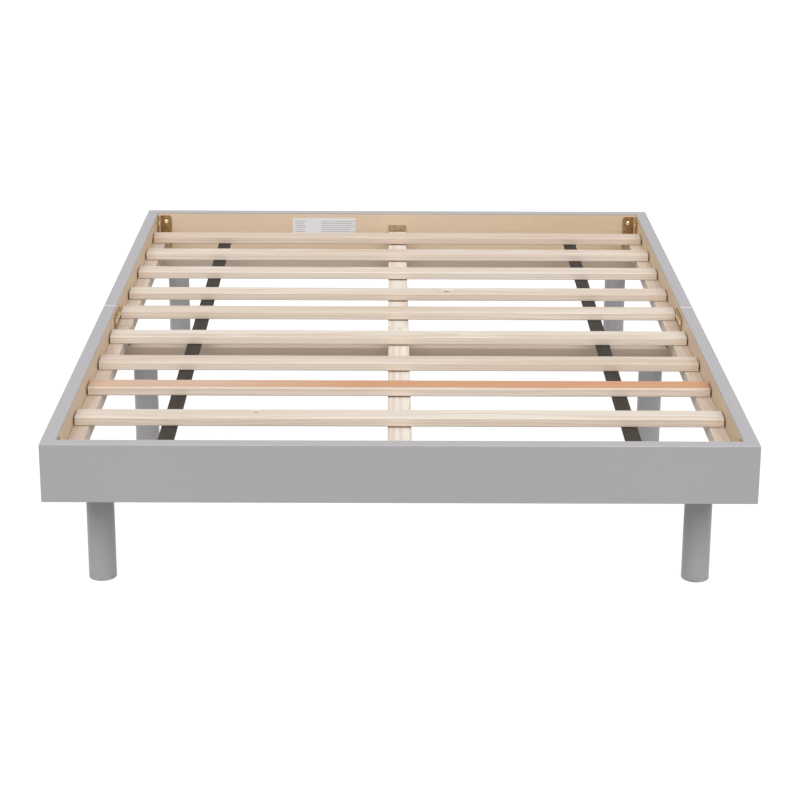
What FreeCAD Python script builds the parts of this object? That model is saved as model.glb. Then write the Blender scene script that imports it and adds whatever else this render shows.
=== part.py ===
import FreeCAD, Part
import math
import os

import Sketcher

# Low platform bed frame: painted side, head and foot rails, a strapped roll of
# slats on ledger strips, three cross beams on six round screw-in legs.
#
# Frame: +X across the bed, +Y from foot to head, +Z up.
# Origin: on the floor, under the middle of the bed. All lengths in millimetres.

doc = FreeCAD.newDocument("platform_bed")

# ---------------------------------------------------------------- dimensions

DIMENSIONS = [
    ("bed_width", 1440, "outside width over the side rails"),
    ("bed_length", 1980, "outside length over head and foot rails"),
    ("rail_height", 123, "height of every outer rail"),
    ("rail_thick", 30, "thickness of every outer rail"),
    ("rail_round", 1.2, "rounding of the rails' edges"),
    ("leg_length", 223, "floor to the underside of the cross beams"),
    ("leg_radius", 29, "radius of a round leg"),
    ("leg_round", 2, "rounding at the foot of a leg"),
    ("leg_inset", 97, "side rail's outer face to a leg's axis"),
    ("ledger_wide", 35, "width of a ledger strip"),
    ("ledger_high", 30, "height of a ledger strip"),
    ("ledger_drop", 50, "rail top to the ledger's top"),
    ("ledger_gap", 2, "gap between a ledger's end and a corner bracket"),
    ("ledger_seam", 1, "ledger's inner end short of the side rail's seam"),
    ("slat_wide", 55, "width of a slat"),
    ("slat_thick", 20, "thickness of a slat"),
    ("slat_round", 3, "rounding of a slat's long edges"),
    ("slat_play", 4, "gap between a slat's end and the side rail"),
    ("beam_wide", 60, "width of a cross beam"),
    ("beam_high", 27, "height of a cross beam"),
    ("beam_round", 2, "rounding of a beam's long edges"),
    ("beam_offset", 844.5, "middle cross beam to an end one"),
    ("centre_wide", 50, "width of the centre rail"),
    ("centre_sag", 2.5, "centre rail's top below the ledger tops"),
    ("centre_gap", 5, "centre rail's end to the bracket's plate"),
    ("strap_wide", 35, "width of a webbing strap"),
    ("strap_thick", 1.8, "thickness of a webbing strap"),
    ("strap_x", 486, "bed's middle to a strap's middle"),
    ("strap_tail", 22, "length of strap past the outermost slats"),
    ("corner_high", 100, "height of a corner bracket"),
    ("corner_head", 38, "corner bracket's leg on the head or foot rail"),
    ("corner_side", 44, "corner bracket's leg on the side rail"),
    ("corner_drop", 8, "rail top to the corner bracket's top"),
    ("corner_round", 8, "rounding of the corner bracket's top corners"),
    ("bolt_from_corner", 22.5, "corner to the bolts of a corner bracket"),
    ("plate_thick", 3, "thickness of the steel brackets"),
    ("bolt_drop", 18, "corner bracket's top to its upper bolts"),
    ("bolt_pitch", 64, "upper to lower bolt of a corner bracket"),
    ("bolt_radius", 3, "shank radius of a bolt"),
    ("bolt_length", 22, "shank length of a bolt"),
    ("head_radius", 6, "radius of a bolt's domed head"),
    ("head_high", 3.4, "height of a bolt's domed head"),
    ("splice_long", 92, "length of a splice plate"),
    ("splice_high", 30, "height of a splice plate"),
    ("splice_drop", 15, "rail top to the splice plate's top"),
    ("hanger_wide", 50, "width of a centre rail hanger"),
    ("hanger_rise", 18, "hanger plate above the centre rail's top"),
    ("hanger_seat", 40, "length of the hanger's seat"),
    ("angle_wide", 44, "width of a cross beam's angle"),
    ("angle_leg", 34, "length of the angle's leg on the beam"),
    ("angle_rise", 14, "height of the angle's leg on the side rail"),
    ("leg_screw", 4, "radius of a leg's screw"),
    ("insert_radius", 6, "outside radius of the threaded insert round it"),
    ("insert_length", 14, "length of the threaded insert"),
    ("bolt_in_beam", 18, "screw's length inside the beam"),
    ("bolt_in_leg", 32, "screw's length inside the leg"),
    ("label_wide", 180, "width of the paper label"),
    ("label_high", 50, "height of the paper label"),
    ("label_thick", 0.3, "thickness of the paper label"),
    ("label_x", 211, "bed's middle to the label's middle"),
    ("label_drop", 14.5, "rail top to the label's top"),
    ("stud_radius", 2, "radius of a small wood screw"),
    ("stud_length", 12, "length of a small wood screw's shank"),
    ("stud_head", 4, "head radius of a small wood screw"),
    ("staple_wide", 12, "width of a staple's crown"),
    ("staple_wire", 0.9, "thickness of a staple's wire"),
    ("staple_deep", 10, "length of a staple's legs past the strap"),
]

sheet = doc.addObject("Spreadsheet::Sheet", "Dimensions")
for row, (alias, value, note) in enumerate(DIMENSIONS, start=1):
    sheet.set(f"A{row}", alias)
    sheet.set(f"B{row}", str(value))
    sheet.set(f"C{row}", note)
    sheet.setAlias(f"B{row}", alias)
doc.recompute()


def size(alias):
    """The value of one driving dimension."""
    return float(sheet.get(alias))


def cell(alias):
    """The expression text that binds a property to a driving dimension."""
    return f"Dimensions.{alias}"


# Slats, counted from the foot: the rear edge of each, from the foot rail's
# outer face. They sit a little unevenly, as a strapped roll does when laid out.
SLAT_REAR_EDGES = [115, 307, 507, 688, 889, 1097, 1268, 1471, 1660, 1841]

# ---------------------------------------------------------------- derived places

half_width = size("bed_width") / 2
half_length = size("bed_length") / 2
inner_x = half_width - size("rail_thick")
inner_y = half_length - size("rail_thick")
rail_bottom = size("leg_length")
rail_top = rail_bottom + size("rail_height")
ledger_top = rail_top - size("ledger_drop")
beam_top = rail_bottom + size("beam_high")
centre_top = ledger_top - size("centre_sag")
corner_top = rail_top - size("corner_drop")
beam_places = [("foot", -size("beam_offset")), ("middle", 0), ("head", size("beam_offset"))]
sides = [("left", -1), ("right", 1)]
ends = [("foot", -1), ("head", 1)]

parts = []

# ---------------------------------------------------------------- building helpers


def origin_plane(body, role):
    """A body's own origin plane, found by its role."""
    return next(item for item in body.Origin.OriginFeatures if item.Role == role)


def rectangle(sketch, wide, high):
    """A constrained rectangle in the sketch, centred on its origin; wide and high are expressions."""
    a, b = 10, 10
    corners = [(-a, -b), (a, -b), (a, b), (-a, b)]
    for start, stop in zip(corners, corners[1:] + corners[:1]):
        sketch.addGeometry(Part.LineSegment(FreeCAD.Vector(*start, 0), FreeCAD.Vector(*stop, 0)))
    for line in range(4):
        sketch.addConstraint(Sketcher.Constraint("Coincident", line, 2, (line + 1) % 4, 1))
    for line in (0, 2):
        sketch.addConstraint(Sketcher.Constraint("Horizontal", line))
    for line in (1, 3):
        sketch.addConstraint(Sketcher.Constraint("Vertical", line))
    sketch.addConstraint(Sketcher.Constraint("Symmetric", 0, 1, 1, 2, -1, 1))
    width = sketch.addConstraint(Sketcher.Constraint("DistanceX", 0, 1, 0, 2, 2 * a))
    height = sketch.addConstraint(Sketcher.Constraint("DistanceY", 1, 1, 1, 2, 2 * b))
    sketch.setExpression(f"Constraints[{width}]", wide)
    sketch.setExpression(f"Constraints[{height}]", high)


def board(name, role, wide, high, length, rounding, place, ends_too=False):
    """A sawn board: a rectangle padded both ways from one origin plane, its long edges rounded.

    With ends_too the edges round its two ends are rounded as well.
    """
    body = doc.addObject("PartDesign::Body", name)
    body.Label = name
    sketch = body.newObject("Sketcher::SketchObject", f"{name}_section")
    sketch.AttachmentSupport = (origin_plane(body, role), "")
    sketch.MapMode = "FlatFace"
    rectangle(sketch, wide, high)
    pad = body.newObject("PartDesign::Pad", f"{name}_pad")
    pad.Profile = sketch
    pad.Midplane = True
    pad.setExpression("Length", length)
    doc.recompute()
    along = {"YZ_Plane": 0, "XZ_Plane": 1}[role]
    edges = []
    for number, edge in enumerate(pad.Shape.Edges, start=1):
        first, last = [vertex.Point for vertex in edge.Vertexes]
        if ends_too or abs(last[along] - first[along]) > 0.9 * edge.Length:
            edges.append(f"Edge{number}")
    fillet = body.newObject("PartDesign::Fillet", f"{name}_round")
    fillet.Base = (pad, edges)
    fillet.setExpression("Radius", rounding)
    body.Tip = fillet
    body.Placement.Base = FreeCAD.Vector(*place)
    parts.append(body)
    return body


def solid(name, shape):
    """A node whose shape is worked out from the sheet with Part's own functions."""
    item = doc.addObject("Part::Feature", name)
    item.Label = name
    item.Shape = shape
    parts.append(item)
    return item


def block(low, high):
    """A box between two opposite corners."""
    span = [b - a for a, b in zip(low, high)]
    return Part.makeBox(*span, FreeCAD.Vector(*low))


def dome_bolt(point, axis, radius, length, head_radius, head_high):
    """A round-head bolt, turned from one profile: its head stands off point along axis."""
    along = FreeCAD.Vector
    outline = [along(0, 0, head_high), along(0, 0, -length), along(radius, 0, -length),
               along(radius, 0, 0), along(head_radius, 0, 0)]
    ball_radius = (head_radius**2 + head_high**2) / (2 * head_high)
    half_turn = math.asin(head_radius / ball_radius) / 2
    shoulder = along(ball_radius * math.sin(half_turn), 0,
                     head_high - ball_radius * (1 - math.cos(half_turn)))
    edges = [Part.makeLine(start, stop) for start, stop in zip(outline, outline[1:])]
    edges.append(Part.Arc(outline[-1], shoulder, outline[0]).toShape())
    turned = Part.Face(Part.Wire(edges)).revolve(along(0, 0, 0), along(0, 0, 1), 360)
    bolt = Part.makeSolid(turned.Shells[0]) if turned.ShapeType != "Solid" else turned
    bolt.Placement = FreeCAD.Placement(along(*point), FreeCAD.Rotation(along(0, 0, 1), along(*axis)))
    return bolt


def group(name, shapes):
    """Several identical pieces kept as separate solids of one node."""
    return solid(name, Part.makeCompound(shapes))


# ---------------------------------------------------------------- outer rails


def make_rails():
    """Head and foot rails run the full width; each side rail is two halves between them."""
    middle_z = rail_bottom + size("rail_height") / 2
    for end, way in ends:
        place = (0, way * (half_length - size("rail_thick") / 2), middle_z)
        board(f"{end}_rail", "YZ_Plane", cell("rail_thick"), cell("rail_height"),
              cell("bed_width"), cell("rail_round"), place, ends_too=True)
    half_rail = f"{cell('bed_length')} / 2 - {cell('rail_thick')}"
    for side, across in sides:
        for end, way in ends:
            place = (across * (half_width - size("rail_thick") / 2), way * inner_y / 2, middle_z)
            board(f"side_rail_{side}_{end}", "XZ_Plane", cell("rail_thick"), cell("rail_height"),
                  half_rail, cell("rail_round"), place, ends_too=True)


def make_ledgers():
    """A strip along the inside of each half side rail, for the slats to lie on."""
    length = (f"{cell('bed_length')} / 2 - {cell('rail_thick')} - {cell('corner_side')}"
              f" - {cell('ledger_gap')} - {cell('ledger_seam')}")
    outer = inner_y - size("corner_side") - size("ledger_gap")
    middle_y = (outer + size("ledger_seam")) / 2
    for side, across in sides:
        for end, way in ends:
            place = (across * (inner_x - size("ledger_wide") / 2), way * middle_y,
                     ledger_top - size("ledger_high") / 2)
            board(f"ledger_{side}_{end}", "XZ_Plane", cell("ledger_wide"), cell("ledger_high"),
                  length, cell("beam_round"), place)


# ---------------------------------------------------------------- under structure


def make_beams():
    """Three flat beams lie across the bed between the side rails, flush with the rails' underside."""
    length = f"{cell('bed_width')} - 2 * {cell('rail_thick')}"
    for name, y in beam_places:
        board(f"cross_beam_{name}", "YZ_Plane", cell("beam_wide"), cell("beam_high"),
              length, cell("beam_round"), (0, y, rail_bottom + size("beam_high") / 2))


def make_centre_rail():
    """The rail under the slats' middles, in two lengths that meet on the middle beam."""
    reach = inner_y - size("plate_thick") - size("centre_gap")
    high = f"{cell('rail_height')} - {cell('ledger_drop')} - {cell('centre_sag')} - {cell('beam_high')}"
    length = (f"{cell('bed_length')} / 2 - {cell('rail_thick')} - {cell('plate_thick')}"
              f" - {cell('centre_gap')}")
    for end, way in ends:
        board(f"centre_rail_{end}", "XZ_Plane", cell("centre_wide"), high, length,
              cell("beam_round"), (0, way * reach / 2, (beam_top + centre_top) / 2))


def make_legs():
    """Six round legs under the beams' ends, each a turned cylinder with a rounded foot."""
    for beam, y in beam_places:
        for side, across in sides:
            name = f"leg_{beam}_{side}"
            stem = doc.addObject("Part::Cylinder", f"{name}_stem")
            stem.setExpression("Radius", cell("leg_radius"))
            stem.setExpression("Height", cell("leg_length"))
            leg = doc.addObject("Part::Cut", f"{name}_bored")
            bore = doc.addObject("Part::Cylinder", f"{name}_bore")
            bore.setExpression("Radius", cell("leg_screw"))
            bore.setExpression("Height", cell("bolt_in_leg"))
            bore.setExpression("Placement.Base.z", f"{cell('leg_length')} - {cell('bolt_in_leg')}")
            leg.Base = stem
            leg.Tool = bore
            doc.recompute()
            rounded = doc.addObject("Part::Fillet", name)
            rounded.Label = name
            rounded.Base = leg
            foot = [number for number, edge in enumerate(leg.Shape.Edges, start=1)
                    if edge.BoundBox.ZMax < 1]
            rounded.Edges = [(number, size("leg_round"), size("leg_round")) for number in foot]
            rounded.Placement.Base = FreeCAD.Vector(across * (half_width - size("leg_inset")), y, 0)
            parts.append(rounded)


def make_leg_bolts():
    """The double-ended screw that holds each leg to its beam, half in each."""
    bolts = []
    for _, y in beam_places:
        for _, across in sides:
            base = (across * (half_width - size("leg_inset")), y, rail_bottom - size("bolt_in_leg"))
            bolts.append(Part.makeCylinder(size("leg_screw"),
                                           size("bolt_in_leg") + size("bolt_in_beam"),
                                           FreeCAD.Vector(*base)))
    inserts = []
    for bolt in bolts:
        seat = bolt.CenterOfMass
        ring = Part.makeCylinder(size("insert_radius"), size("insert_length"),
                                 FreeCAD.Vector(seat.x, seat.y, rail_bottom))
        inserts.append(ring.cut(bolt))
    return group("leg_bolts", bolts), group("leg_inserts", inserts)


# ---------------------------------------------------------------- slat roll


def slat_middle(number):
    """The Y of a slat's middle, counted from the foot."""
    return SLAT_REAR_EDGES[number - 1] - size("slat_wide") / 2 - half_length


def make_slats():
    """Ten loose slats on the ledgers."""
    length = f"{cell('bed_width')} - 2 * {cell('rail_thick')} - 2 * {cell('slat_play')}"
    for number in range(1, len(SLAT_REAR_EDGES) + 1):
        board(f"slat_{number:02d}", "YZ_Plane", cell("slat_wide"), cell("slat_thick"), length,
              cell("slat_round"), (0, slat_middle(number), ledger_top + size("slat_thick") / 2))


def make_staples():
    """A wire staple at each crossing, up through the strap into the slat."""
    half, wire = size("staple_wide") / 2, size("staple_wire")
    low = ledger_top - size("strap_thick")
    top = ledger_top + size("staple_deep")
    staples = []
    for number in range(1, len(SLAT_REAR_EDGES) + 1):
        y = slat_middle(number)
        for _, across in sides:
            x = across * size("strap_x")
            crown = block((x - half, y, low - wire), (x + half, y + wire, low))
            legs = [block((edge, y, low), (edge + wire, y + wire, top)) for edge in (x - half, x + half - wire)]
            staples.append(crown.multiFuse(legs).removeSplitter())
    return group("strap_staples", staples)


def make_straps():
    """Two webbing straps run under all the slats and keep their spacing."""
    first = slat_middle(1) - size("slat_wide") / 2 - size("strap_tail")
    last = slat_middle(len(SLAT_REAR_EDGES)) + size("slat_wide") / 2 + size("strap_tail")
    for side, across in sides:
        x = across * size("strap_x")
        half = size("strap_wide") / 2
        strap = block((x - half, first, ledger_top - size("strap_thick")), (x + half, last, ledger_top))
        solid(f"strap_{side}", strap)


# ---------------------------------------------------------------- steel fittings


def corner_bracket(across, way):
    """An angle in one inner corner, bent round the vertical, its top corners cut round."""
    thick = size("plate_thick")
    bottom = corner_top - size("corner_high")
    reach_x, reach_y = size("corner_head"), size("corner_side")
    x, y = across * inner_x, way * inner_y
    head_leg = block((0, 0, bottom), (reach_x, thick, corner_top))
    side_leg = block((0, 0, bottom), (thick, reach_y, corner_top))
    outer = head_leg.fuse(side_leg).removeSplitter()
    tips = []
    for edge in outer.Edges:
        middle = edge.CenterOfMass
        flat = abs(edge.Vertexes[0].Z - edge.Vertexes[-1].Z) < 0.1
        at_tip = abs(middle.x - reach_x) < 0.1 or abs(middle.y - reach_y) < 0.1
        if flat and at_tip and abs(edge.Length - thick) < 0.1:
            tips.append(edge)
    outer = outer.makeFillet(size("corner_round"), tips)
    inner_bend = [edge for edge in outer.Edges
                  if abs(edge.CenterOfMass.x - thick) < 0.1 and abs(edge.CenterOfMass.y - thick) < 0.1
                  and edge.Length > size("corner_high") / 2]
    outer = outer.makeFillet(thick, inner_bend)
    turn = FreeCAD.Matrix()
    turn.A11 = -across
    turn.A22 = -way
    placed = outer.transformGeometry(turn)
    placed.translate(FreeCAD.Vector(x, y, 0))
    return placed


def corner_bolts(across, way):
    """The four bolts of one corner: two into the end rail and two into the side rail."""
    thick = size("plate_thick")
    x = across * (inner_x - size("bolt_from_corner"))
    y = way * (inner_y - size("bolt_from_corner"))
    bolts = []
    for row in range(2):
        z = corner_top - size("bolt_drop") - row * size("bolt_pitch")
        bolts.append(make_bolt((x, way * (inner_y - thick), z), (0, -way, 0)))
        bolts.append(make_bolt((across * (inner_x - thick), y, z), (-across, 0, 0)))
    return bolts


def make_bolt(point, axis):
    """One of the frame's round-head bolts."""
    return dome_bolt(point, axis, size("bolt_radius"), size("bolt_length"),
                     size("head_radius"), size("head_high"))


def make_small_screw(point, axis):
    """One of the small wood screws of the hangers and angles."""
    return dome_bolt(point, axis, size("stud_radius"), size("stud_length"),
                     size("stud_head"), size("stud_head") / 2)


def make_corners():
    """Four corner brackets and one node of bolts for them all."""
    bolts = []
    for side, across in sides:
        for end, way in ends:
            holes = corner_bolts(across, way)
            bracket = corner_bracket(across, way).cut(Part.makeCompound(holes))
            solid(f"corner_bracket_{side}_{end}", bracket)
            bolts += holes
    return group("corner_bolts", bolts)


def make_splices():
    """A flat plate joins the two halves of each side rail, with four bolts."""
    thick = size("plate_thick")
    half = size("splice_long") / 2
    top = rail_top - size("splice_drop")
    bottom = top - size("splice_high")
    bolts = []
    for side, across in sides:
        face = across * (inner_x - thick)
        plate = block((min(face, across * inner_x), -half, bottom), (max(face, across * inner_x), half, top))
        upright = [edge for edge in plate.Edges if abs(edge.tangentAt(edge.FirstParameter).x) > 0.9]
        plate = plate.makeFillet(4, upright)
        held = [make_bolt((face, spot * half, (top + bottom) / 2), (-across, 0, 0))
                for spot in (-0.72, -0.28, 0.28, 0.72)]
        solid(f"splice_plate_{side}", plate.cut(Part.makeCompound(held)))
        bolts += held
    return group("splice_bolts", bolts)


def make_hangers():
    """An angle on the head and on the foot rail carries each end of the centre rail."""
    thick = size("plate_thick")
    half = size("hanger_wide") / 2
    screws = []
    for end, way in ends:
        face = way * inner_y
        near = way * (inner_y - thick)
        tip = way * (inner_y - size("hanger_seat"))
        top = centre_top + size("hanger_rise")
        upright = block((-half, min(face, near), beam_top - thick), (half, max(face, near), top))
        seat = block((-half, min(face, tip), beam_top - thick), (half, max(face, tip), beam_top))
        hanger = upright.fuse(seat).removeSplitter()
        held = [make_small_screw((x, near, top - size("hanger_rise") / 2), (0, -way, 0))
                for x in (-0.64 * half, 0.64 * half)]
        solid(f"centre_hanger_{end}", hanger.cut(Part.makeCompound(held)))
        screws += held
    return screws


def make_angles():
    """A small angle over each end of every beam ties it to the side rail."""
    thick = size("plate_thick")
    half = size("angle_wide") / 2
    angles, screws = [], []
    for _, y in beam_places:
        for _, across in sides:
            wall = across * inner_x
            near = across * (inner_x - thick)
            tip = across * (inner_x - size("angle_leg"))
            flat = block((min(wall, tip), y - half, beam_top), (max(wall, tip), y + half, beam_top + thick))
            rise = block((min(wall, near), y - half, beam_top),
                         (max(wall, near), y + half, beam_top + size("angle_rise")))
            held = []
            for step in (-0.6, 0.6):
                held.append(make_small_screw((across * (inner_x - size("angle_leg") * 0.6),
                                              y + step * half, beam_top + thick), (0, 0, 1)))
                held.append(make_small_screw((near, y + step * half,
                                              beam_top + size("angle_rise") - size("stud_head") - 0.5),
                                             (-across, 0, 0)))
            angles.append(flat.fuse(rise).removeSplitter().cut(Part.makeCompound(held)))
            screws += held
    group("beam_angles", angles)
    return screws


def make_label():
    """A blank paper label stuck to the inside of the head rail."""
    x = -size("label_x")
    half = size("label_wide") / 2
    top = rail_top - size("label_drop")
    solid("paper_label", block((x - half, inner_y - size("label_thick"), top - size("label_high")),
                               (x + half, inner_y, top)))


def bore_for(names, fasteners):
    """Cuts the fasteners' holes in the named wooden pieces, so that each hole is just filled."""
    tool = fasteners[0]
    if len(fasteners) > 1:
        tool = doc.addObject("Part::Compound", f"holes_of_{names[0]}")
        tool.Links = fasteners
    for index, item in enumerate(parts):
        if item.Label in names:
            label = item.Label
            item.Label = f"{label}_unbored"
            bored = doc.addObject("Part::Cut", f"{label}_bored")
            bored.Base = item
            bored.Tool = tool
            bored.Label = label
            parts[index] = bored


make_rails()
make_ledgers()
make_beams()
make_centre_rail()
make_legs()
leg_bolts, leg_inserts = make_leg_bolts()
make_slats()
make_straps()
strap_staples = make_staples()
corner_fasteners = make_corners()
splice_fasteners = make_splices()
small_screws = group("small_screws", make_hangers() + make_angles())
make_label()
doc.recompute()

rails = [f"{end}_rail" for end, _ in ends]
rails += [f"side_rail_{side}_{end}" for side, _ in sides for end, _ in ends]
beams = [f"cross_beam_{name}" for name, _ in beam_places]
roll = [f"slat_{number:02d}" for number in range(1, len(SLAT_REAR_EDGES) + 1)]
roll += [f"strap_{side}" for side, _ in sides]
bore_for(rails, [corner_fasteners, splice_fasteners, small_screws])
bore_for(beams, [leg_bolts, leg_inserts, small_screws])
bore_for(roll, [strap_staples])

# ---------------------------------------------------------------- checks and export

doc.recompute()
for item in doc.Objects:
    if "Invalid" in item.State or "Error" in item.State:
        raise RuntimeError(f"{item.Label} failed: {item.State}")
for item in parts:
    if item.Shape.isNull() or not item.Shape.isValid() or not item.Shape.Solids:
        raise RuntimeError(f"{item.Label} has no valid solid")

os.makedirs("parts", exist_ok=True)
for item in parts:
    item.Shape.exportStep(os.path.join("parts", f"{item.Label}.step"))
    box = item.Shape.BoundBox
    print(f"{item.Label:28s} solids {len(item.Shape.Solids):2d}  "
          f"x {box.XMin:8.1f} {box.XMax:8.1f}  y {box.YMin:8.1f} {box.YMax:8.1f}  "
          f"z {box.ZMin:6.1f} {box.ZMax:6.1f}")
print(len(parts), "nodes")
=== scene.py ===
# %% [markdown]
# # A low platform bed, dressed round its working parts
#
# The bed's rails, slats, legs and steel fittings already exist as exact solids. This lesson gives
# them their finishes, makes the few pieces that need finer shapes than a solid has, such as woven
# straps and socket-head bolts, and sets up a plain studio. Every length is in metres: +X runs across
# the bed, +Y from its foot to its head, +Z up, and the floor is at zero.

# %% Load the solids
import math

import bmesh
import bpy
import numpy as np
from mathutils import Matrix, Vector


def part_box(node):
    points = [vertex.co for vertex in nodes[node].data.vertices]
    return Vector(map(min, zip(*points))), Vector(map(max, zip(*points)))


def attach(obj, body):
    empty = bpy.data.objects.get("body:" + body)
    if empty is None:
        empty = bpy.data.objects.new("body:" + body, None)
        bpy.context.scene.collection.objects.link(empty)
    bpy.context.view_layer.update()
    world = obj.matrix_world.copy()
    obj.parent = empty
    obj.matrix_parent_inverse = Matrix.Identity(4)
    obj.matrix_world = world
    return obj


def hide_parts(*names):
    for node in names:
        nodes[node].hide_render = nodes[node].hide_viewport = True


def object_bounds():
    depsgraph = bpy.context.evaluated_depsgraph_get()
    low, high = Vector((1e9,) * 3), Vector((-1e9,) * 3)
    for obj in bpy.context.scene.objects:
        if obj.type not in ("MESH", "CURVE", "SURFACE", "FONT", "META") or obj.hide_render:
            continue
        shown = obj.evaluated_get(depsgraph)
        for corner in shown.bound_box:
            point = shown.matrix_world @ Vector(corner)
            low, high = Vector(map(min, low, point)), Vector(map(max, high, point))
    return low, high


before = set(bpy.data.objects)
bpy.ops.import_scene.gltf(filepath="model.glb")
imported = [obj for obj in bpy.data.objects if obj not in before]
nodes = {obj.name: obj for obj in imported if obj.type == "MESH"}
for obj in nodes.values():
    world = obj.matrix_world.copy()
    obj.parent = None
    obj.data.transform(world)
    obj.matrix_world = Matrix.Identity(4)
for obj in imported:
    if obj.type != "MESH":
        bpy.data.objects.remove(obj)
cad_low, cad_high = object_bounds()
print(len(nodes), "solids in a box of", [round(b - a, 3) for a, b in zip(cad_low, cad_high)], "m")

# %% [markdown]
# ## The camera
#
# A long bed is best seen from its foot end through a long lens, from about eye height, so that its
# rails run away from us gently. Turning a camera about one axis at a time keeps each turn readable:
# pitched down, then swung and rolled by the fraction of a degree that a hand-set tripod has. A small
# lens shift moves the bed up in the frame without tilting the camera, so the legs stay nearly
# upright.

# %% Aim the camera
EYE = Vector((-0.024, -4.880, 1.769))
PITCH_DOWN = math.radians(17.07)
SWING = math.radians(0.33)
ROLL = math.radians(0.28)
LENS_MM = 93.5
LENS_SHIFT = -0.08


def aim_camera():
    """Puts the scene's camera at EYE, turned about its own axes."""
    data = bpy.data.cameras.new("camera")
    data.lens = LENS_MM
    data.sensor_width = 36
    data.shift_y = LENS_SHIFT
    camera = bpy.data.objects.new("camera", data)
    bpy.context.scene.collection.objects.link(camera)
    turn = Matrix.Rotation(-SWING, 4, "Z") @ Matrix.Rotation(math.pi / 2 - PITCH_DOWN, 4, "X")
    camera.matrix_world = Matrix.Translation(EYE) @ turn @ Matrix.Rotation(ROLL, 4, "Z")
    bpy.context.scene.camera = camera
    return camera


sight = -aim_camera().matrix_world.col[2].to_3d()
print("camera looks along", [round(v, 3) for v in sight])

# %% [markdown]
# ## The studio
#
# Pale furniture shows its colour best on white with almost no shadow. A very broad light overhead
# makes the tops of the boards a little lighter than their fronts. Two more, in front to the left and
# right, light the fronts and draw a soft slanting shadow of the rail on each leg. Suns with wide
# angles stand in for large softboxes, because a sun falls equally on every part of a long bed. The
# floor glows by itself, so that it stays white in the shade under the bed, but it is hidden from
# diffuse rays: otherwise a glowing floor would light the undersides more than the lamps light the
# tops.

# %% Light the set
BACKGROUND_FILL = 0.45
OVERHEAD = 1.05
OVERHEAD_SPREAD = math.radians(120)
SOFTBOX = 1.36
SOFTBOX_SPREAD = math.radians(50)
SOFTBOX_AT = (2.2, -2.9, 3.9)
FLOOR_GLOW = 0.90
FLOOR_GREY = 0.18
FLOOR_REACH = 60.0
WHITE = (1, 1, 1, 1)


def colour(red, green, blue):
    """A display colour, 0 to 255, as the linear values that shaders use."""
    value = np.array([red, green, blue]) / 255
    linear = np.where(value <= 0.04045, value / 12.92, ((value + 0.055) / 1.055) ** 2.4)
    return (*linear.tolist(), 1.0)


def wide_sun(name, strength, spread, place):
    """A soft light from one direction, as wide as spread, aimed at the bed's middle."""
    data = bpy.data.lights.new(name, "SUN")
    data.energy = strength
    data.angle = spread
    light = bpy.data.objects.new(name, data)
    light.location = place
    light.rotation_euler = Vector(place).to_track_quat("Z", "Y").to_euler()
    bpy.context.scene.collection.objects.link(light)


def white_surroundings():
    """A world that looks white but lights the set with only BACKGROUND_FILL."""
    world = bpy.data.worlds.new("surroundings")
    bpy.context.scene.world = world
    world.use_nodes = True
    tree = world.node_tree
    sky = tree.nodes["Background"]
    seen = tree.nodes.new("ShaderNodeLightPath")
    level = tree.nodes.new("ShaderNodeMapRange")
    level.inputs["To Min"].default_value = BACKGROUND_FILL
    level.inputs["To Max"].default_value = 1.0
    tree.links.new(seen.outputs["Is Camera Ray"], level.inputs["Value"])
    tree.links.new(level.outputs["Result"], sky.inputs["Strength"])
    sky.inputs["Color"].default_value = WHITE


def lay_floor():
    """A wide glowing floor at height zero."""
    mesh = bpy.data.meshes.new("floor")
    corners = [(x * FLOOR_REACH, y * FLOOR_REACH, 0) for x, y in ((-1, -1), (1, -1), (1, 1), (-1, 1))]
    mesh.from_pydata(corners, [], [(0, 1, 2, 3)])
    floor = bpy.data.objects.new("floor", mesh)
    bpy.context.scene.collection.objects.link(floor)
    paper = bpy.data.materials.new("white_paper")
    paper.use_nodes = True
    shader = paper.node_tree.nodes["Principled BSDF"]
    shader.inputs["Base Color"].default_value = (FLOOR_GREY, FLOOR_GREY, FLOOR_GREY, 1)
    shader.inputs["Roughness"].default_value = 0.9
    shader.inputs["Specular IOR Level"].default_value = 0.0
    shader.inputs["Emission Color"].default_value = WHITE
    shader.inputs["Emission Strength"].default_value = FLOOR_GLOW
    mesh.materials.append(paper)
    floor.visible_diffuse = False


bpy.context.scene.view_settings.view_transform = "Standard"
bpy.context.scene.view_settings.look = "None"
white_surroundings()
lay_floor()
wide_sun("overhead", OVERHEAD, OVERHEAD_SPREAD, (0, 0, 5))
for side, name in ((-1, "softbox_left"), (1, "softbox_right")):
    wide_sun(name, SOFTBOX, SOFTBOX_SPREAD, (side * SOFTBOX_AT[0], *SOFTBOX_AT[1:]))

# %% [markdown]
# ## Writing shaders as sums
#
# A wood grain is a formula: rings are distances from the tree's middle, fibres are stretched noise.
# Wiring that by hand takes dozens of nodes, so here a socket is wrapped in a small class whose
# operators add the Math nodes for us. `1 - mask` or `rings * 0.3` then reads like the formula it is.


# %% A socket that can be written in a sum
class Term:
    """One output socket. Adding, scaling or comparing terms adds the Math nodes that do it."""

    def __init__(self, shader, socket):
        self.shader = shader
        self.socket = socket

    def __add__(self, other):
        return self.shader.math("ADD", self, other)

    def __sub__(self, other):
        return self.shader.math("SUBTRACT", self, other)

    def __rsub__(self, other):
        return self.shader.math("SUBTRACT", other, self)

    def __mul__(self, other):
        return self.shader.math("MULTIPLY", self, other)

    def __truediv__(self, other):
        return self.shader.math("DIVIDE", self, other)

    def __pow__(self, other):
        return self.shader.math("POWER", self, other)

    def __gt__(self, other):
        return self.shader.math("GREATER_THAN", self, other)

    def __lt__(self, other):
        return self.shader.math("LESS_THAN", self, other)


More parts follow.
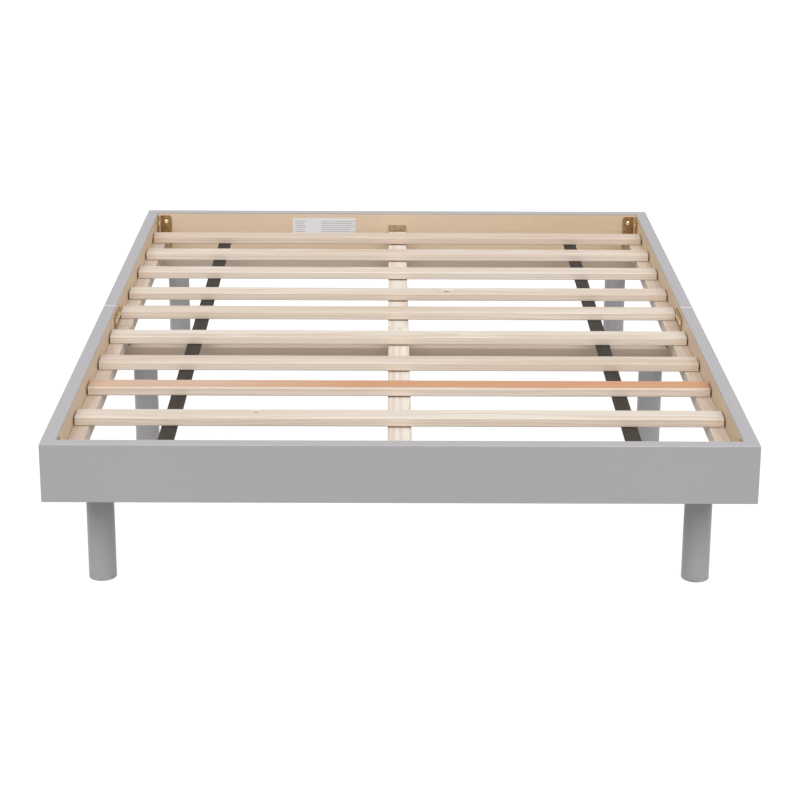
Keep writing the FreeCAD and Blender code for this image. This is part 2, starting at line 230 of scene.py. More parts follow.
class Shader:
    """A material and the ways of adding nodes to it. x, y and z are the object's own coordinates."""

    def __init__(self, name):
        self.material = bpy.data.materials.new(name)
        self.material.use_nodes = True
        self.tree = self.material.node_tree
        self.principled = self.tree.nodes["Principled BSDF"]
        self.x, self.y, self.z = self.parts(self.node("TexCoord", {}, {}, "Object"))

    def node(self, kind, settings, inputs, output=0):
        """Adds a node, makes its settings first, then fills its sockets with values or links."""
        made = self.tree.nodes.new("ShaderNode" + kind)
        for key, value in settings.items():
            setattr(made, key, value)
        for key, value in inputs.items():
            if isinstance(value, Term):
                self.tree.links.new(value.socket, made.inputs[key])
            else:
                made.inputs[key].default_value = value
        return Term(self, made.outputs[output])

    def math(self, operation, *values):
        """A Math node with these values or terms."""
        return self.node("Math", {"operation": operation}, dict(enumerate(values)))

    def parts(self, vector):
        """A vector's three numbers."""
        split = self.node("SeparateXYZ", {}, {0: vector})
        return [Term(self, socket) for socket in split.socket.node.outputs]

    def vector(self, a, b, c=0.0):
        """A vector from three numbers or terms."""
        return self.node("CombineXYZ", {}, {0: a, 1: b, 2: c})

    def place(self, a, b, c):
        """The point's own place, with x, y and z stretched by three factors."""
        return self.vector(self.x * a, self.y * b, self.z * c)

    def absolute(self, value):
        """A value without its sign."""
        return self.math("ABSOLUTE", value)

    def noise(self, vector, detail=2.0, rough=0.5):
        """Smooth noise about 0.5, with features about one unit across."""
        values = {"Vector": vector, "Scale": 1.0, "Detail": detail, "Roughness": rough}
        return self.node("TexNoise", {}, values)

    def fade(self, value, low, high):
        """0 below low, 1 above high, and a smooth step between; low may be above high."""
        values = {"Value": value, "From Min": low, "From Max": high}
        return self.node("MapRange", {"interpolation_type": "SMOOTHSTEP"}, values)

    def mix(self, share, first, second):
        """The first colour, moved towards the second by share."""
        return self.node("Mix", {"data_type": "RGBA"}, {0: share, 6: first, 7: second}, 2)

    def shade(self, tone, factor):
        """A colour made lighter or darker by a varying factor."""
        return self.node("VectorMath", {"operation": "SCALE"}, {0: tone, "Scale": factor})

    def finish(self, tone, roughness, height, relief, strength=0.5, metallic=0.0):
        """Feeds the surface: its colour, its roughness and a height in units of relief, in metres."""
        sockets = self.principled.inputs
        self.tree.links.new(tone.socket, sockets["Base Color"])
        if isinstance(roughness, Term):
            self.tree.links.new(roughness.socket, sockets["Roughness"])
        else:
            sockets["Roughness"].default_value = roughness
        bump = {"Height": height, "Distance": relief, "Strength": strength}
        self.tree.links.new(self.node("Bump", {}, bump).socket, sockets["Normal"])
        sockets["Metallic"].default_value = metallic
        return self.material


print("shader words:", [word for word in vars(Shader) if not word.startswith("_")])

# %% [markdown]
# ## Pine
#
# A pine board is cut from a stack of cones: each year the tree adds a pale, wide band and a thin
# darker one. If the board is a box in the tree, the bands on its faces come by themselves, as arches
# on the wide face, lines on the edges and arcs on the ends. So the grain is a solid pattern: the
# distance from a pith line that runs near the board, wandering slowly along it. A flat pattern would
# need to be wrapped on every board and would not meet at its edges.
#
# A knot is a branch: a small dark disc across the grain, round which the rings bend. A Voronoi
# pattern with stretched cells scatters a few along a board. Its distances are turned back into
# metres, so that a knot is only a little longer along the grain than across it.

# %% The pattern of a board
KNOT_CELLS_ALONG = 1.9
KNOT_CELLS_ACROSS = 9.0
KNOT_STRETCH = 0.45
KNOT_SMALLEST, KNOT_SPREAD = 0.0016, 0.0042
KNOT_BEND = 5200.0
FIBRES_PER_METRE = 420.0
FLECKS_PER_METRE = 650.0
FLECK_TONE = colour(128, 96, 73)
KNOT_TONE = colour(113, 76, 52)
END_TONE = colour(166, 137, 106)


def knots(shader, along, across, seed, share):
    """How deep in a knot a point is, from 0 to 1, and how much the rings bend there."""
    u = along * KNOT_CELLS_ALONG + seed
    v = across * KNOT_CELLS_ACROSS + seed * 0.37
    values = {"Vector": shader.vector(u, v), "Scale": 1.0}
    outputs = shader.node("TexVoronoi", {"voronoi_dimensions": "2D"}, values).socket.node.outputs
    place_u, place_v, _ = shader.parts(Term(shader, outputs["Position"]))
    chance, girth, _ = shader.parts(Term(shader, outputs["Color"]))
    away_u = (u - place_u) / KNOT_CELLS_ALONG
    away_v = (v - place_v) / KNOT_CELLS_ACROSS
    away = (away_u * away_u * KNOT_STRETCH + away_v * away_v) ** 0.5
    there = chance > 1 - share
    radius = girth * KNOT_SPREAD + KNOT_SMALLEST
    inside = shader.fade(away / radius, 1.15, 0.75) * there
    bend = shader.math("EXPONENT", away * away * -KNOT_BEND) * there
    return inside, bend


def grain(shader, centre, axis, seed, pith, ring, knot_share):
    """The grain of one board: late wood, fibres, broad tone, knots and end grain, each from 0 to 1.

    axis is 0 or 1 for a board along X or Y, and pith is where the tree's middle lies from the
    board's. ring is a year's growth in metres, and knot_share is the share of cells with a knot.
    """
    local = [value - middle for value, middle in zip((shader.x, shader.y, shader.z), centre)]
    along = local[axis]
    across, through = [local[i] for i in range(3) if i != axis]
    inside, bend = knots(shader, along, across, seed, knot_share)
    slow = shader.vector(along * 1.5 + seed, across * 7.0, through * 7.0)
    wander = shader.noise(slow, 1.0) - 0.5
    quick = shader.vector(along * 5.0 + seed, across * 30.0, through * 30.0)
    ripple = shader.noise(quick, 2.0) - 0.5
    side = across - pith[0] + wander * 0.05
    under = through - pith[1] + wander * 0.03
    radius = (side * side + under * under) ** 0.5 + ripple * 0.004 + bend * 0.007
    band = shader.math("FRACT", radius / ring)
    late = shader.fade(band, 0.25, 0.93) * shader.fade(band, 1.0, 0.95)
    thin = shader.vector(along * 7.0 + seed, across * FIBRES_PER_METRE, through * FIBRES_PER_METRE)
    fibre = shader.noise(thin, 3.0, 0.6)
    broad = shader.noise(shader.vector(along * 1.1 + seed, across * 16.0, through * 10.0), 2.0)
    faces = shader.parts(shader.node("NewGeometry", {}, {}, "Normal"))
    end = shader.fade(shader.absolute(faces[axis]), 0.6, 0.9)
    # upright marks faces that stand upright; pine_tone paints light on them.
    upright = shader.fade(shader.absolute(faces[2]), 0.8, 0.4)
    spots = shader.vector(along * 55.0 + seed, across * FLECKS_PER_METRE, through * FLECKS_PER_METRE)
    fleck = shader.fade(shader.noise(spots, 1.0), 0.70, 0.78)
    return {"late": late, "fibre": fibre, "broad": broad, "knot": inside, "end": end,
            "fleck": fleck, "upright": upright, "across": across, "through": through}


def pine_tone(shader, g, pale, deep, late_tone, late_share, upright_painted_light=0.0):
    """Mixes a board's colour from its grain; its last factor is painted light that makes upright faces
    paler.
    """
    tone = shader.mix(shader.fade(g["broad"], 0.32, 0.70), pale, deep)
    tone = shader.mix(g["late"] * late_share, tone, late_tone)
    tone = shader.mix(g["fleck"] * 0.35, tone, FLECK_TONE)
    tone = shader.mix(g["knot"] * 0.8, tone, KNOT_TONE)
    tone = shader.mix(g["end"] * 0.45, tone, END_TONE)
    return shader.shade(tone, g["fibre"] * 0.16 + 0.92 + g["upright"] * upright_painted_light)


def bare_pine(shader, g, tone, rough):
    """A planed, bare board: fibres and late wood stand up a little, and knots lie lower."""
    height = g["fibre"] * 0.6 + g["late"] * 0.4 - g["knot"] * 0.5
    return shader.finish(tone, g["fibre"] * 0.15 + rough, height, 0.00025)


print("a fibre is about", round(1000 / FIBRES_PER_METRE, 1), "mm wide")

# %% [markdown]
# ## Slats
#
# The slats are planed, bare and cut from many boards, so no two match: some are nearly white, some
# pinkish, and one was sawn where the tree's orange heart meets the pale outer wood. Each gets its own
# material with its own seed, tone and pith. The heartwood slat has a second colour past a slowly
# wandering line near its foot edge, and more of it towards the right.

# %% Finish each slat
PALE = colour(210, 202, 192)
CREAM = colour(197, 185, 171)
PINK = colour(191, 172, 156)
LATE = colour(178, 152, 127)
HEART = colour(174, 113, 78)
HEART_PALE = colour(194, 148, 106)
HEARTWOOD_SLAT = 3
HEART_FROM, HEART_TO = -0.0265, -0.0225
SLAT_RING = 0.0058
SLAT_KNOTS = 0.45
SLAT_WARMTH = [0.3, 0.15, 0.7, 0.75, 0.1, 0.35, 0.4, 0.55, 0.6, 1.0]


def middle_of(name):
    """The middle of a solid's box."""
    low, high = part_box(name)
    return (low + high) / 2


def dress(name, material):
    """Gives a solid its finish."""
    slots = nodes[name].data.materials
    slots.clear()
    slots.append(material)


def between(first, second, share):
    """The first colour, moved towards the second by a fixed share."""
    return tuple((1 - share) * a + share * b for a, b in zip(first, second))


def slat_finish(number, warmth):
    """One slat's bare pine. warmth goes from nearly white, 0, to pinkish, 1."""
    name = f"slat_{number:02d}"
    shader = Shader(f"pine_{name}")
    pith = (0.035 * math.sin(2.4 * number), -0.035 - 0.03 * abs(math.cos(1.7 * number)))
    ring = SLAT_RING + 0.0006 * (number % 4)
    g = grain(shader, middle_of(name), 0, 3.1 * number, pith, ring, SLAT_KNOTS)
    pale = between(PALE, CREAM, warmth)
    deep = between(CREAM, PINK, warmth)
    # The 0.20 is painted light: it makes each slat's upright front, back and ends paler.
    tone = pine_tone(shader, g, pale, deep, LATE, 0.40, 0.20)
    if number == HEARTWOOD_SLAT:
        line = shader.noise(shader.vector(shader.x * 2.2 + 5.0, g["through"] * 5.0), 1.0) - 0.5
        heart = shader.fade(g["across"] + line * 0.010, HEART_FROM, HEART_TO)
        streaks = shader.noise(shader.vector(shader.x * 2.5, g["across"] * 130.0), 2.0)
        amount = shader.fade(shader.x + line * 0.3, -0.50, -0.05) * 0.45 + 0.35 + streaks * 0.2
        tone = shader.mix(heart * amount, tone, shader.mix(streaks, HEART, HEART_PALE))
    dress(name, bare_pine(shader, g, tone, 0.50))


for slat, warm in enumerate(SLAT_WARMTH, start=1):
    slat_finish(slat, warm)
print(len(SLAT_WARMTH), "slats finished")

# %% [markdown]
# ## Ledgers, centre rail and cross beams
#
# These carry the slats and are the same bare pine, with the grain along each piece. The cross beams
# are a little browner and darker.

# %% Finish the carrying timbers
BEAM_PALE = colour(178, 162, 146)
BEAM_DEEP = colour(164, 146, 130)
TIMBER_RING = 0.0065
TIMBER_KNOTS = 0.35


def timber_finish(name, axis, seed, pale, deep):
    """Bare pine for a board along one axis."""
    shader = Shader(f"pine_{name}")
    pith = (0.03 * math.sin(seed), -0.06)
    g = grain(shader, middle_of(name), axis, seed, pith, TIMBER_RING, TIMBER_KNOTS)
    dress(name, bare_pine(shader, g, pine_tone(shader, g, pale, deep, LATE, 0.38), 0.52))


# Each piece has its own seed, so that no two show the same part of a tree.
for number, end in enumerate(("foot", "head")):
    timber_finish(f"centre_rail_{end}", 1, 21.0 + 4.3 * number, PALE, CREAM)
    for step, side in enumerate(("left", "right")):
        timber_finish(f"ledger_{side}_{end}", 1, 31.0 + 2.7 * number + 5.9 * step, CREAM, PINK)
for number, place in enumerate(("foot", "middle", "head")):
    timber_finish(f"cross_beam_{place}", 0, 47.0 + 3.9 * number, BEAM_PALE, BEAM_DEEP)
timbers = [name for name in nodes if name.startswith(("centre_rail", "ledger", "cross_beam"))]
print(len(timbers), "carrying timbers finished")

# %% [markdown]
# ## Painted rails
#
# The rails are sprayed a satin grey on their outer, upper and lower faces and left bare inside, where
# a mattress hides them. One material does both, because it is one board: a mask is 1 on the inner
# face, away from its rounded edges, with a slightly uneven border where the spray ended. Sprayed
# paint is not flat either: it has a fine orange-peel relief, the grain shows through a little, and
# edges wear lighter. Each side rail is two boards end to end, and a pale line shows where they meet:
# worn paint at the board ends, with a painted highlight, strongest on top, where their rounded ends
# would catch the light.

# %% Paint the rails
PAINT = colour(162, 160, 162)
PAINT_CLOUD = colour(154, 153, 156)
PAINT_SPECK = colour(130, 129, 130)
PAINT_WORN = colour(182, 181, 181)
BARE = colour(213, 191, 164)
BARE_DEEP = colour(204, 180, 150)
BARE_LATE = colour(186, 155, 122)
SEAM_WEAR_AND_HIGHLIGHT = colour(202, 200, 197)
EDGE = 0.0024
SEAM_HALF = 0.0030
SPRAY_BORDER = 0.0003
PAINT_RELIEF = 0.00012

half_width = cad_high.x
half_length = cad_high.y
rail_top = cad_high.z
head_low, head_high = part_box("head_rail")
rail_bottom = head_low.z
rail_thick = head_high.y - head_low.y


def paint_coat(shader, grain_line):
    """The sprayed coat: its colour, its roughness and its relief."""
    cloud = shader.noise(shader.place(3.0, 3.0, 3.0), 2.0)
    peel = shader.noise(shader.place(420.0, 420.0, 420.0), 2.0, 0.4)
    specks = shader.fade(shader.noise(shader.place(160.0, 160.0, 160.0)), 0.74, 0.78)
    tone = shader.mix(shader.fade(cloud, 0.3, 0.7) * 0.22, PAINT, PAINT_CLOUD)
    tone = shader.mix(specks * 0.12, tone, PAINT_SPECK)
    tone = shader.shade(tone, grain_line * 0.012 + 0.994)
    return tone, cloud * 0.10 + 0.38, peel * 0.5 + grain_line * 0.12


def worn_edges(shader, planes):
    """1 along the lines where two of the outer planes meet, worn through here and there."""
    near = [shader.fade(distance, 0.0030, 0.0004) for distance in planes]
    pairs = [near[i] * near[j] for i in range(len(near)) for j in range(i)]
    edge = pairs[0]
    for pair in pairs[1:]:
        edge = shader.math("MAXIMUM", edge, pair)
    patch = shader.noise(shader.place(9.0, 9.0, 30.0), 3.0)
    return edge * shader.fade(patch, 0.35, 0.65)


def bare_mask(shader, depth):
    """1 on a rail's inner face, within an uneven border. depth is measured outwards from that face."""
    uneven = shader.noise(shader.place(60.0, 60.0, 60.0), 2.0) * 0.0012
    inside = shader.fade(depth, 0.0006, 0.0002)
    top, bottom = rail_top - EDGE, rail_bottom + EDGE
    below_top = shader.fade(shader.z + uneven, top + SPRAY_BORDER, top)
    above_bottom = shader.fade(shader.z - uneven, bottom - SPRAY_BORDER, bottom)
    return inside * below_top * above_bottom


def rail_finish(name, across, way):
    """A rail, painted outside and bare inside.

    across is the axis that the rail is thin along, 0 or 1, and way is -1 or 1: the side of the
    bed that it is on.
    """
    shader = Shader(f"rail_{name}")
    reach = (half_width, half_length)
    place = (shader.x, shader.y)
    depth = place[across] * way - (reach[across] - rail_thick)
    axis = 1 - across
    seed = 61.0 + way + 3 * across + 0.4 * len(name)
    g = grain(shader, middle_of(name), axis, seed, (0.02, -0.07), 0.009, 0.12)
    bare = bare_mask(shader, depth)
    coat, coat_rough, coat_height = paint_coat(shader, g["late"])
    from_end = reach[axis] - shader.absolute(place[axis])
    planes = [rail_top - shader.z, shader.z - rail_bottom, rail_thick - depth, from_end]
    coat = shader.mix(worn_edges(shader, planes) * 0.5, coat, PAINT_WORN)
    if across == 0:
        # The pale line where the two halves meet: worn paint at their ends, with a painted highlight
        # that is strongest on top.
        seam_wear_and_highlight = shader.fade(shader.absolute(shader.y), SEAM_HALF + 0.0006, SEAM_HALF)
        on_top = shader.fade(shader.z, rail_top - EDGE, rail_top - EDGE / 3)
        coat = shader.mix(seam_wear_and_highlight * (on_top * 0.6 + 0.2), coat, SEAM_WEAR_AND_HIGHLIGHT)
    tone = shader.mix(bare, coat, pine_tone(shader, g, BARE, BARE_DEEP, BARE_LATE, 0.10))
    height = coat_height * (1 - bare) + g["fibre"] * bare
    dress(name, shader.finish(tone, coat_rough + bare * 0.22, height, PAINT_RELIEF, 0.35))


rail_finish("foot_rail", 1, -1)
rail_finish("head_rail", 1, 1)
for side, way in (("left", -1), ("right", 1)):
    for end in ("foot", "head"):
        rail_finish(f"side_rail_{side}_{end}", 0, way)
print("rails in mm, thick and high:", round(1000 * rail_thick), round(1000 * (rail_top - rail_bottom)))

# %% [markdown]
# ## Legs
#
# Turned legs carry the same grey. A lathe leaves very faint rings round them, and in a band at the
# foot the paint is darker and rougher in patches.

# %% Paint the legs
FOOT_DARK = colour(124, 122, 121)
FOOT_BAND_HIGH = 0.016


def leg_finish(name):
    """Satin grey on a turned leg, darker and rougher in patches near the floor."""
    shader = Shader(f"paint_{name}")
    middle = middle_of(name)
    angle = shader.math("ARCTAN2", shader.y - middle.y, shader.x - middle.x)
    lines = shader.noise(shader.vector(angle * 12.0, shader.z * 6.0, middle.x + middle.y), 2.0)
    turned = shader.noise(shader.vector(shader.z * 700.0, middle.x * 5.0), 1.0)
    coat, rough, height = paint_coat(shader, lines)
    # In a band near the floor the paint is darker and rougher in patches.
    foot_patches = shader.noise(shader.place(60.0, 60.0, 25.0), 3.0)
    low = shader.fade(shader.z, FOOT_BAND_HIGH, 0.001) * shader.fade(foot_patches, 0.40, 0.62)
    coat = shader.mix(low * 0.35, coat, FOOT_DARK)
    dress(name, shader.finish(coat, rough + low * 0.2, height + turned * 0.4, PAINT_RELIEF, 0.35))


leg_names = [name for name in nodes if name.startswith(("leg_foot", "leg_middle", "leg_head"))]
for name in leg_names:
    leg_finish(name)
print(len(leg_names), "legs painted")

# %% [markdown]
# ## Yellow zinc
#
# The brackets and bolts are steel with a yellow passivated zinc coat: brassy, a little greenish and
# brown in patches, with fine rolling lines. It is a metal, so its colour goes in the base colour with
# Metallic at one, and the roughness varies with the patches. The two hangers have lost their yellow.

# %% Finish the steel
ZINC = colour(208, 176, 124)
ZINC_BROWN = colour(160, 124, 92)
ZINC_GREEN = colour(196, 182, 118)
ZINC_BRIGHT = colour(246, 228, 196)
ZINC_DULL = colour(200, 178, 156)
BRACKET_BEND = 0.0058
BEND_FADE = 0.0012
bend_x = half_width - rail_thick - BRACKET_BEND
bend_y = half_length - rail_thick - BRACKET_BEND


def zinc_finish(name, brown, rough, fresh=ZINC, green=0.5):
    """Patchy yellow zinc, with a painted highlight along a bracket's bend. brown and green set the two
    tints.
    """
    shader = Shader(name)
    patches = shader.noise(shader.place(70.0, 70.0, 45.0), 3.0, 0.6)
    tint = shader.noise(shader.vector(shader.x * 30.0, shader.y * 30.0 + 7.0, shader.z * 30.0), 2.0)
    lines = shader.noise(shader.place(900.0, 900.0, 25.0), 2.0)
    # A painted highlight: the strip along a corner bracket's fold is kept free of brown and made
    # ZINC_BRIGHT, as its rounded bend would catch the light.
    beside = shader.fade(shader.absolute(shader.x), bend_x - BEND_FADE, bend_x)
    bend = beside * shader.fade(shader.absolute(shader.y), bend_y - BEND_FADE, bend_y)
    tone = shader.mix(shader.fade(patches, 0.30, 0.62) * brown * (1 - bend), fresh, ZINC_BROWN)
    tone = shader.mix(bend * 0.65, tone, ZINC_BRIGHT)
    tone = shader.mix(shader.fade(tint, 0.50, 0.72) * green, tone, ZINC_GREEN)
    tone = shader.shade(tone, lines * 0.2 + 0.9)
    return shader.finish(tone, patches * 0.25 + rough, lines, 0.00005, 0.4, metallic=1.0)


plate_zinc = zinc_finish("zinc_plate", 0.8, 0.34)
bolt_zinc = zinc_finish("zinc_bolt", 0.1, 0.12, ZINC_BRIGHT)
plain_zinc = zinc_finish("zinc_plain", 0.2, 0.30)
dull_zinc = zinc_finish("zinc_dull", 0.5, 0.42, ZINC_DULL, 0.1)
for name in nodes:
    if name.startswith(("corner_bracket", "splice_plate", "beam_angles")):
        dress(name, plate_zinc)
    if name.startswith("centre_hanger"):
        dress(name, dull_zinc)
    if name in ("leg_bolts", "leg_inserts"):
        dress(name, bolt_zinc)
dress("strap_staples", plain_zinc)
plated = [name for name in nodes if nodes[name].data.materials[0] is plate_zinc]
print(len(plated), "steel pieces have the plate finish")

# %% [markdown]
# ## Bolts and screws
#
# The bolts' solids are plain domes. Seen close, each bolt has a hexagonal socket and each wood screw
# a cross, which catch the light. They are surfaces of turning: a profile of radius and height,
# carried round the axis. For the bolt, the last rows of the profile change from a circle to a
# hexagon, whose radius is its half width divided by the cosine of the angle from the nearest flat's
# middle. For the screw, the cross is pressed into the dome by lowering the points that lie in either
# arm.

# %% Find each fastener in its node
def solids_of(name):
    """The boxes of a node's separate solids: points that share triangles get one label."""
    mesh = nodes[name].data
    mesh.calc_loop_triangles()
    points = np.zeros(len(mesh.vertices) * 3, np.float32)
    mesh.vertices.foreach_get("co", points)
    corners = np.zeros(len(mesh.loop_triangles) * 3, np.int32)
    mesh.loop_triangles.foreach_get("vertices", corners)
    places, same = np.unique(points.reshape(-1, 3).round(6), axis=0, return_inverse=True)
    triangles = same.reshape(-1)[corners].reshape(-1, 3)
    label = np.arange(len(places))
    while True:
        lowest = label.copy()
        np.minimum.at(lowest, triangles.ravel(), np.repeat(label[triangles].min(1), 3))
        if (lowest == label).all():
            break
        label = lowest
    return [(places[label == k].min(0), places[label == k].max(0)) for k in np.unique(label)]


def seats_of(name, head_high):
    """Each fastener's seat and axis: its longest side is its axis, and its head faces inwards or up."""
    seats = []
    for low, high in solids_of(name):
        size, middle = high - low, (low + high) / 2
        axis = int(size.argmax())
        way = 1.0 if axis == 2 else -np.sign(middle[axis])
        out = np.zeros(3)
        out[axis] = way
        tip = middle + out * size[axis] / 2
        seats.append((tip - out * head_high, out))
    return seats


# %% Turn a fastener and set copies of it
def joined_surface(name, grids):
    """A mesh from grids of points, rows by columns: neighbours are joined by four-sided faces.

    A grid's last column is joined to its first, and points that coincide become one.
    """
    points, faces, start = [], [], 0
    for grid in grids:
        rows, columns = grid.shape[:2]
        index = np.arange(rows * columns).reshape(rows, columns) + start
        around = np.roll(index, -1, axis=1)
        quads = np.stack([index[:-1], around[:-1], around[1:], index[1:]], axis=-1)
        points.append(grid.reshape(-1, 3))
        faces.append(quads.reshape(-1, 4))
        start += rows * columns
    mesh = bpy.data.meshes.new(name)
    mesh.from_pydata(np.concatenate(points).tolist(), [], np.concatenate(faces).tolist())
    edit = bmesh.new()
    edit.from_mesh(mesh)
    bmesh.ops.remove_doubles(edit, verts=edit.verts, dist=1e-6)
    bmesh.ops.recalc_face_normals(edit, faces=edit.faces)
    edit.to_mesh(mesh)
    edit.free()
    piece = bpy.data.objects.new(name, mesh)
    bpy.context.scene.collection.objects.link(piece)
    return piece


def turned(profile, hexagon_rows=(), columns=48):
    """Carries a profile of (radius, height) round the Z axis; hexagon_rows are six-sided."""
    angle = np.linspace(0, 2 * np.pi, columns, endpoint=False)
    radius, height = np.array(profile, float).T
    ring = np.repeat(radius[:, None], columns, axis=1)
    to_flat = (angle + np.pi / 6) % (np.pi / 3) - np.pi / 6
    ring[list(hexagon_rows)] /= np.cos(to_flat)
    tall = np.repeat(height[:, None], columns, axis=1)
    return np.stack([ring * np.cos(angle), ring * np.sin(angle), tall], axis=-1)


def dome_rows(radius, high, rows=9):
    """A round cap's profile from its rim up to its middle: radii, and heights on a sphere."""
    ball = (radius**2 + high**2) / (2 * high)
    across = radius * np.cos(np.linspace(0, np.pi / 2, rows))
    return [(r, high - ball + math.sqrt(ball**2 - r**2)) for r in across]


def set_copies(name, pattern, seats):
    """One piece made of copies of a pattern, with its Z axis laid along each seat's axis."""
    grids = []
    for number, (seat, out) in enumerate(seats):
        turn = Vector((0, 0, 1)).rotation_difference(Vector(out)).to_matrix()
        spin = Matrix.Rotation(1.3 * number, 3, "Z")
        grids.append(pattern @ np.array(turn @ spin).T + seat)
    return joined_surface(name, grids)


BOLT_HEAD, BOLT_RISE, BOLT_SHANK, BOLT_LONG, BOLT_POINT = 0.006, 0.0034, 0.003, 0.022, 0.001
BOLT_SKIRT = 0.0003
BOLT_TIP = BOLT_SHANK * 0.7
SOCKET_HALF, SOCKET_DEEP, SOCKET_CONE, SOCKET_ROUNDING = 0.0021, 0.0022, 0.0006, 0.0002

cap = [row for row in dome_rows(BOLT_HEAD, BOLT_RISE) if row[0] > SOCKET_HALF * 1.3]
mouth = cap[-1][1]
socket_floor = BOLT_RISE - SOCKET_DEEP
socket = [(SOCKET_HALF * 1.06, mouth + SOCKET_ROUNDING / 2), (SOCKET_HALF, mouth - SOCKET_ROUNDING)]
socket += [(SOCKET_HALF, socket_floor), (0.0, socket_floor - SOCKET_CONE)]
shank = [(0.0, -BOLT_LONG), (BOLT_TIP, -BOLT_LONG)]
shank += [(BOLT_SHANK, BOLT_POINT - BOLT_LONG), (BOLT_SHANK, 0.0)]
bolt_profile = shank + [(BOLT_HEAD, 0.0), (BOLT_HEAD, BOLT_SKIRT)] + cap[1:] + socket
bolt_pattern = turned(bolt_profile, range(len(bolt_profile) - 4, len(bolt_profile) - 1))

for node in ("corner_bolts", "splice_bolts"):
    bolts = set_copies(f"{node}_turned", bolt_pattern, seats_of(node, BOLT_RISE))
    bolts.data.materials.append(bolt_zinc)
    bolts.data.shade_smooth()
    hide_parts(node)
    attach(bolts, "frame")
    print(bolts.name, "has", len(bolts.data.polygons), "faces")

# %% Press the wood screws' crosses
SCREW_HEAD, SCREW_RISE, SCREW_SHANK, SCREW_LONG, SCREW_POINT = 0.004, 0.002, 0.002, 0.012, 0.003
CROSS_HALF_WIDTH, CROSS_REACH, CROSS_DEEP, CROSS_FROM = 0.00055, 0.0024, 0.0011, 0.0003

shank = [(0.0, -SCREW_LONG), (SCREW_SHANK, SCREW_POINT - SCREW_LONG), (SCREW_SHANK, 0.0)]
screw_profile = shank + [(SCREW_HEAD, 0.0)] + dome_rows(SCREW_HEAD, SCREW_RISE, 14)[1:]
screw_pattern = turned(screw_profile, columns=56)
sideways = abs(screw_pattern[..., :2])
arm, reach = sideways.min(-1), sideways.max(-1)
pressed = (arm < CROSS_HALF_WIDTH) & (reach < CROSS_REACH) & (screw_pattern[..., 2] > CROSS_FROM)
screw_pattern[..., 2] -= pressed * CROSS_DEEP * (1 - reach / CROSS_REACH) ** 0.5
screw_seats = seats_of("small_screws", SCREW_RISE)
screws = set_copies("small_screws_pressed", screw_pattern, screw_seats)
screws.data.materials.append(plain_zinc)
screws.data.shade_smooth()
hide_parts("small_screws")
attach(screws, "frame")
print(len(screw_seats), "wood screws")

# %% [markdown]
# ## Webbing straps
#
# The slats are stapled to two lengths of dark woven webbing, which keep their spacing when the roll
# is laid out. Between slats the webbing hangs by a millimetre or two, and its edges are rounded where
# the weft turns back. A closed band is carried along that sagging line, and a weave is drawn on it
# from its own UV map, so that the pattern follows the cloth.

# %% Weave the straps
SAG = 0.0016
PICK = 0.0021
WARP = 0.0016
STATIONS = 700
ROUND_STEPS = 36
THREAD_GROOVE_SHADE = colour(24, 19, 15)
THREAD_LIGHT = colour(56, 47, 40)
THREAD_WORN = colour(66, 55, 47)
slat_names = sorted(name for name in nodes if name.startswith("slat_"))


def sagging_line(low, high):
    """Places along a strap and how far it sags there: nothing under a slat, a parabola between two."""
    along = np.linspace(low, high, STATIONS)
    sag = np.zeros(STATIONS)
    edges = sorted((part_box(name)[0].y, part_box(name)[1].y) for name in slat_names)
    for (_, start), (stop, _) in zip(edges, edges[1:]):
        share = np.clip((along - start) / (stop - start), 0, 1)
        sag += 4 * share * (1 - share) * SAG
    return along, sag


def webbing_band(name):
    """A flat closed band: an oval section, wide and thin, carried along the sagging line."""
    low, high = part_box(name)
    along, sag = sagging_line(low.y, high.y)
    turn = np.linspace(0, 2 * np.pi, ROUND_STEPS, endpoint=False)
    half_wide, half_thick = (high.x - low.x) / 2, (high.z - low.z) / 2
    wide = np.sign(np.cos(turn)) * abs(np.cos(turn)) ** 0.35 * half_wide
    thick = np.sign(np.sin(turn)) * abs(np.sin(turn)) ** 0.6 * half_thick
    taper = np.ones(len(along))
    taper[[0, -1]] = 0.0
    x = (low.x + high.x) / 2 + wide[None, :] * taper[:, None]
    z = (low.z + high.z) / 2 - sag[:, None] + thick[None, :] * taper[:, None]
    y = np.repeat(along[:, None], len(turn), axis=1)
    return np.stack([x, y, z], axis=-1)


def webbing_finish():
    """Dark twill: picks slant up to the middle and down again, and each is a small rounded thread, with
    painted shade where threads dip.
    """
    shader = Shader("webbing")
    u, v, _ = shader.parts(shader.node("UVMap", {"uv_map": "weave"}, {}))
    pick = shader.math("FRACT", (v + shader.absolute(u)) / PICK) - 0.5
    thread = 1 - pick * pick * 4
    warp = shader.math("FRACT", u / WARP) - 0.5
    cord = 1 - warp * warp * 4
    fuzz = shader.noise(shader.vector(u * 2500.0, v * 900.0), 2.0)
    worn = shader.noise(shader.vector(u * 60.0, v * 14.0), 2.0)
    # Painted shade: the weave is darker where each thread dips between its neighbours and lighter on
    # its crown.
    tone = shader.mix(thread * cord, THREAD_GROOVE_SHADE, THREAD_LIGHT)
    tone = shader.mix(shader.fade(worn, 0.35, 0.7) * 0.35, tone, THREAD_WORN)
    tone = shader.shade(tone, fuzz * 0.5 + 0.75)
    return shader.finish(tone, 0.85, thread * cord + fuzz * 0.2, 0.0004, 0.7)


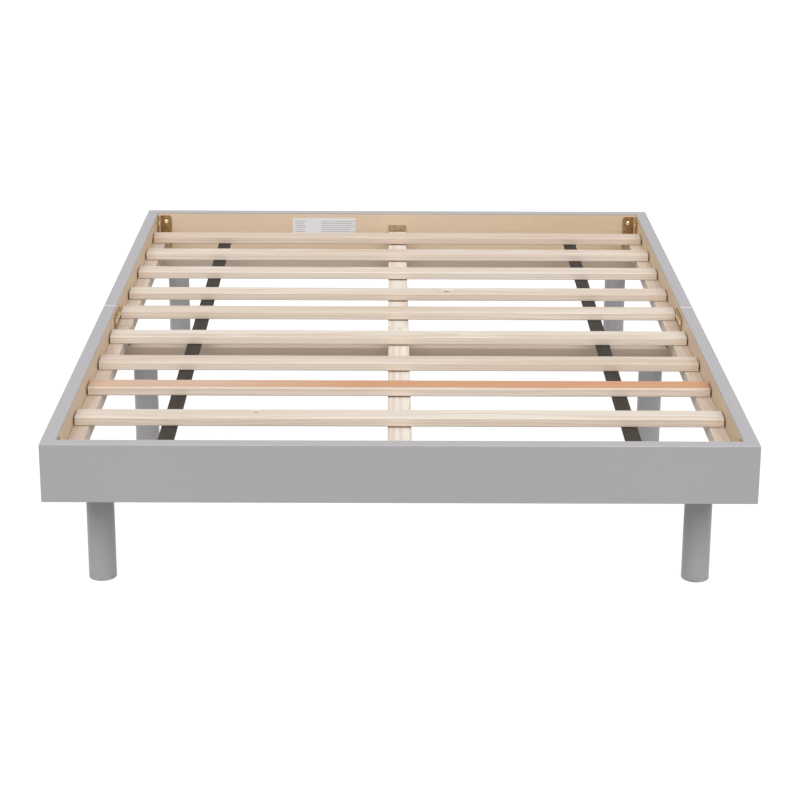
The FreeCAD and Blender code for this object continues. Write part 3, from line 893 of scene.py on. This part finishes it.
def lay_weave(mesh, middle):
    """Gives a strap its UV map: each corner's place across and along it from its middle, in metres."""
    points = np.zeros(len(mesh.vertices) * 3, np.float32)
    mesh.vertices.foreach_get("co", points)
    corners = np.zeros(len(mesh.loops), np.int32)
    mesh.loops.foreach_get("vertex_index", corners)
    flat = points.reshape(-1, 3)[corners][:, :2] - np.array(middle[:2])
    mesh.uv_layers.new(name="weave").data.foreach_set("uv", flat.astype(np.float32).ravel())


webbing = webbing_finish()
for side in ("left", "right"):
    node = f"strap_{side}"
    strap = joined_surface(f"webbing_{side}", [webbing_band(node)])
    lay_weave(strap.data, middle_of(node))
    strap.data.materials.append(webbing)
    strap.data.shade_smooth()
    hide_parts(node)
    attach(strap, "slat_roll")

# %% [markdown]
# ## The paper label
#
# A maker's sheet is stuck inside the head rail. Here it says nothing: it is white paper with a faint
# tooth and rows of plain grey rules where lines of print would stand.

# %% Finish the label
RULE_PITCH = 0.0062
SECOND_COLUMN = 0.075
MARGIN = 0.006
FOOT_MARGIN = 0.005
LABEL_PAPER = colour(218, 217, 219)
RULE_GREY = colour(96, 98, 100)


def label_finish():
    """White paper, with grey rules whose lengths change from row to row."""
    shader = Shader("label_paper")
    low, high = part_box("paper_label")
    from_left = shader.x - low.x
    from_top = high.z - shader.z
    row = shader.math("FLOOR", from_top / RULE_PITCH)
    within = shader.math("FRACT", from_top / RULE_PITCH)
    right = from_left > SECOND_COLUMN
    column = from_left - right * SECOND_COLUMN
    chance = shader.noise(shader.vector(row * 3.7, 2.0), 1.0)
    length = chance * (right * 0.05 + 0.04) + 0.015 + right * 0.045
    rule = (within > 0.36) * (within < 0.70) * (column > MARGIN) * (column < length)
    rule = rule * (row > 0.5) * (from_top < high.z - low.z - FOOT_MARGIN)
    words = shader.noise(shader.vector(shader.x * 330.0, row * 9.0), 1.0)
    rule = rule * shader.fade(words, 0.36, 0.44)
    tooth = shader.noise(shader.place(700.0, 700.0, 700.0), 2.0)
    tone = shader.mix(rule * 0.55, LABEL_PAPER, RULE_GREY)
    tone = shader.shade(tone, tooth * 0.04 + 0.97)
    return shader.finish(tone, 0.6, tooth, 0.00005, 0.3)


dress("paper_label", label_finish())
label_low, label_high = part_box("paper_label")
print("label is", [round(1000 * v) for v in label_high - label_low], "mm")

# %% [markdown]
# ## The size
#
# The dressed model must keep to the solids' box.
